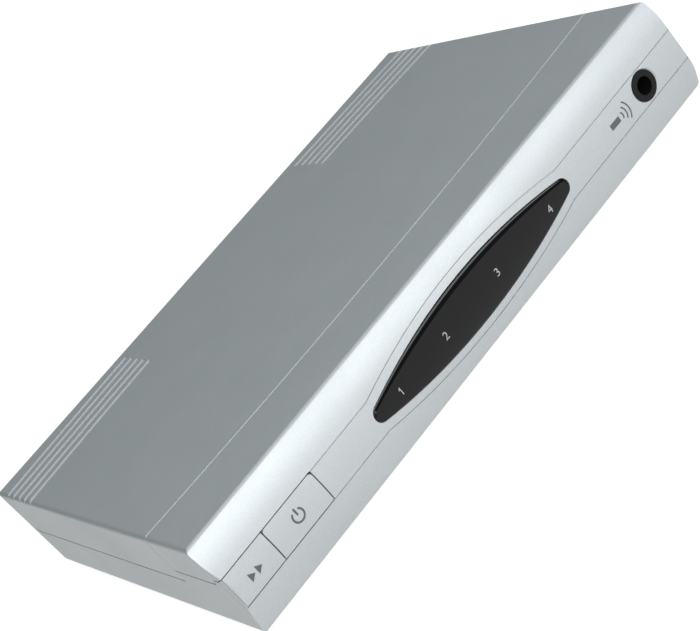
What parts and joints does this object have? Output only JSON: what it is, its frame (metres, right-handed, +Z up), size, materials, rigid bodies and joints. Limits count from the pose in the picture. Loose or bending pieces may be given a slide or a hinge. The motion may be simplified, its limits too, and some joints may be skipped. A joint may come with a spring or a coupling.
{
  "type": "video switch box",
  "caption": "Low silver video switch box with a bulged front, a dark leaf-shaped indicator window, flush hinged keys, a remote socket, and video sockets and a power inlet at the back",
  "frame": {"origin": "centre of the footprint on the table, under the rubber feet", "axes": "front with the window faces -Y, the right end with the remote socket is +X, up is +Z"},
  "size_m": [0.1356, 0.092, 0.0238],
  "materials": {
    "silver_paint": "satin silver paint on moulded plastic",
    "window_black": "dark tinted acrylic, polished",
    "moulding_black": "black moulded nylon",
    "plunger_ivory": "natural nylon",
    "contact_gold": "gold-flashed spring metal",
    "board_green": "green solder mask on laminate",
    "socket_steel": "nickel-plated sheet",
    "pin_steel": "nickel-plated",
    "indicator_clear": "cloudy cast resin",
    "chip_black": "moulded epoxy",
    "can_aluminium": "bare drawn cans",
    "screw_steel": "zinc-plated",
    "foot_rubber": "dark rubber"
  },
  "bodies": {
    "case": {"top_cover": "silver_paint", "front_hood": "silver_paint", "bottom_case": "silver_paint", "front_fascia": "silver_paint", "display_lens": "window_black", "select_switch": "moulding_black", "power_switch": "moulding_black", "remote_jack": "moulding_black", "remote_jack_contacts": "contact_gold", "main_board": "board_green", "input_socket_1_shell": "socket_steel", "input_socket_1_insert": "moulding_black", "input_socket_1_contacts": "contact_gold", "input_socket_2_shell": "socket_steel", "input_socket_2_insert": "moulding_black", "input_socket_2_contacts": "contact_gold", "input_socket_3_shell": "socket_steel", "input_socket_3_insert": "moulding_black", "input_socket_3_contacts": "contact_gold", "input_socket_4_shell": "socket_steel", "input_socket_4_insert": "moulding_black", "input_socket_4_contacts": "contact_gold", "output_socket_shell": "socket_steel", "output_socket_insert": "moulding_black", "output_socket_contacts": "contact_gold", "dc_jack": "moulding_black", "dc_jack_pin": "pin_steel", "dc_jack_spring": "pin_steel", "led_1": "indicator_clear", "led_2": "indicator_clear", "led_3": "indicator_clear", "led_4": "indicator_clear", "led_holder": "moulding_black", "switch_chip": "chip_black", "controller_chip": "chip_black", "memory_chips": "chip_black", "regulator": "chip_black", "crystal": "socket_steel", "filter_capacitors": "can_aluminium", "board_screws": "screw_steel", "case_screws": "screw_steel", "rubber_feet": "foot_rubber"},
    "select_key": {"select_button": "silver_paint"},
    "power_key": {"power_button": "silver_paint"},
    "select_plunger": {"select_switch_plunger": "plunger_ivory"},
    "power_plunger": {"power_switch_plunger": "plunger_ivory"}
  },
  "joints": [
    {"name": "select_press", "type": "hinge", "parent": "case", "child": "select_key", "pos_m": [-0.06218, -0.04347, 0.01056], "axis": [-1, 0, 0], "range_deg": [0, 4], "stiffness_Nm_per_rad": 0.03},
    {"name": "power_press", "type": "hinge", "parent": "case", "child": "power_key", "pos_m": [-0.05038, -0.04347, 0.01056], "axis": [-1, 0, 0], "range_deg": [0, 4], "stiffness_Nm_per_rad": 0.03},
    {"name": "select_switch_press", "type": "slide", "parent": "case", "child": "select_plunger", "axis": [0, 1, 0], "range_m": [0, 0.00021]},
    {"name": "power_switch_press", "type": "slide", "parent": "case", "child": "power_plunger", "axis": [0, 1, 0], "range_m": [0, 0.00021]}
  ],
  "couplings": [
    {"joint": "select_switch_press", "follows": "select_press", "m_per_rad": 0.00286},
    {"joint": "power_switch_press", "follows": "power_press", "m_per_rad": 0.00286}
  ]
}
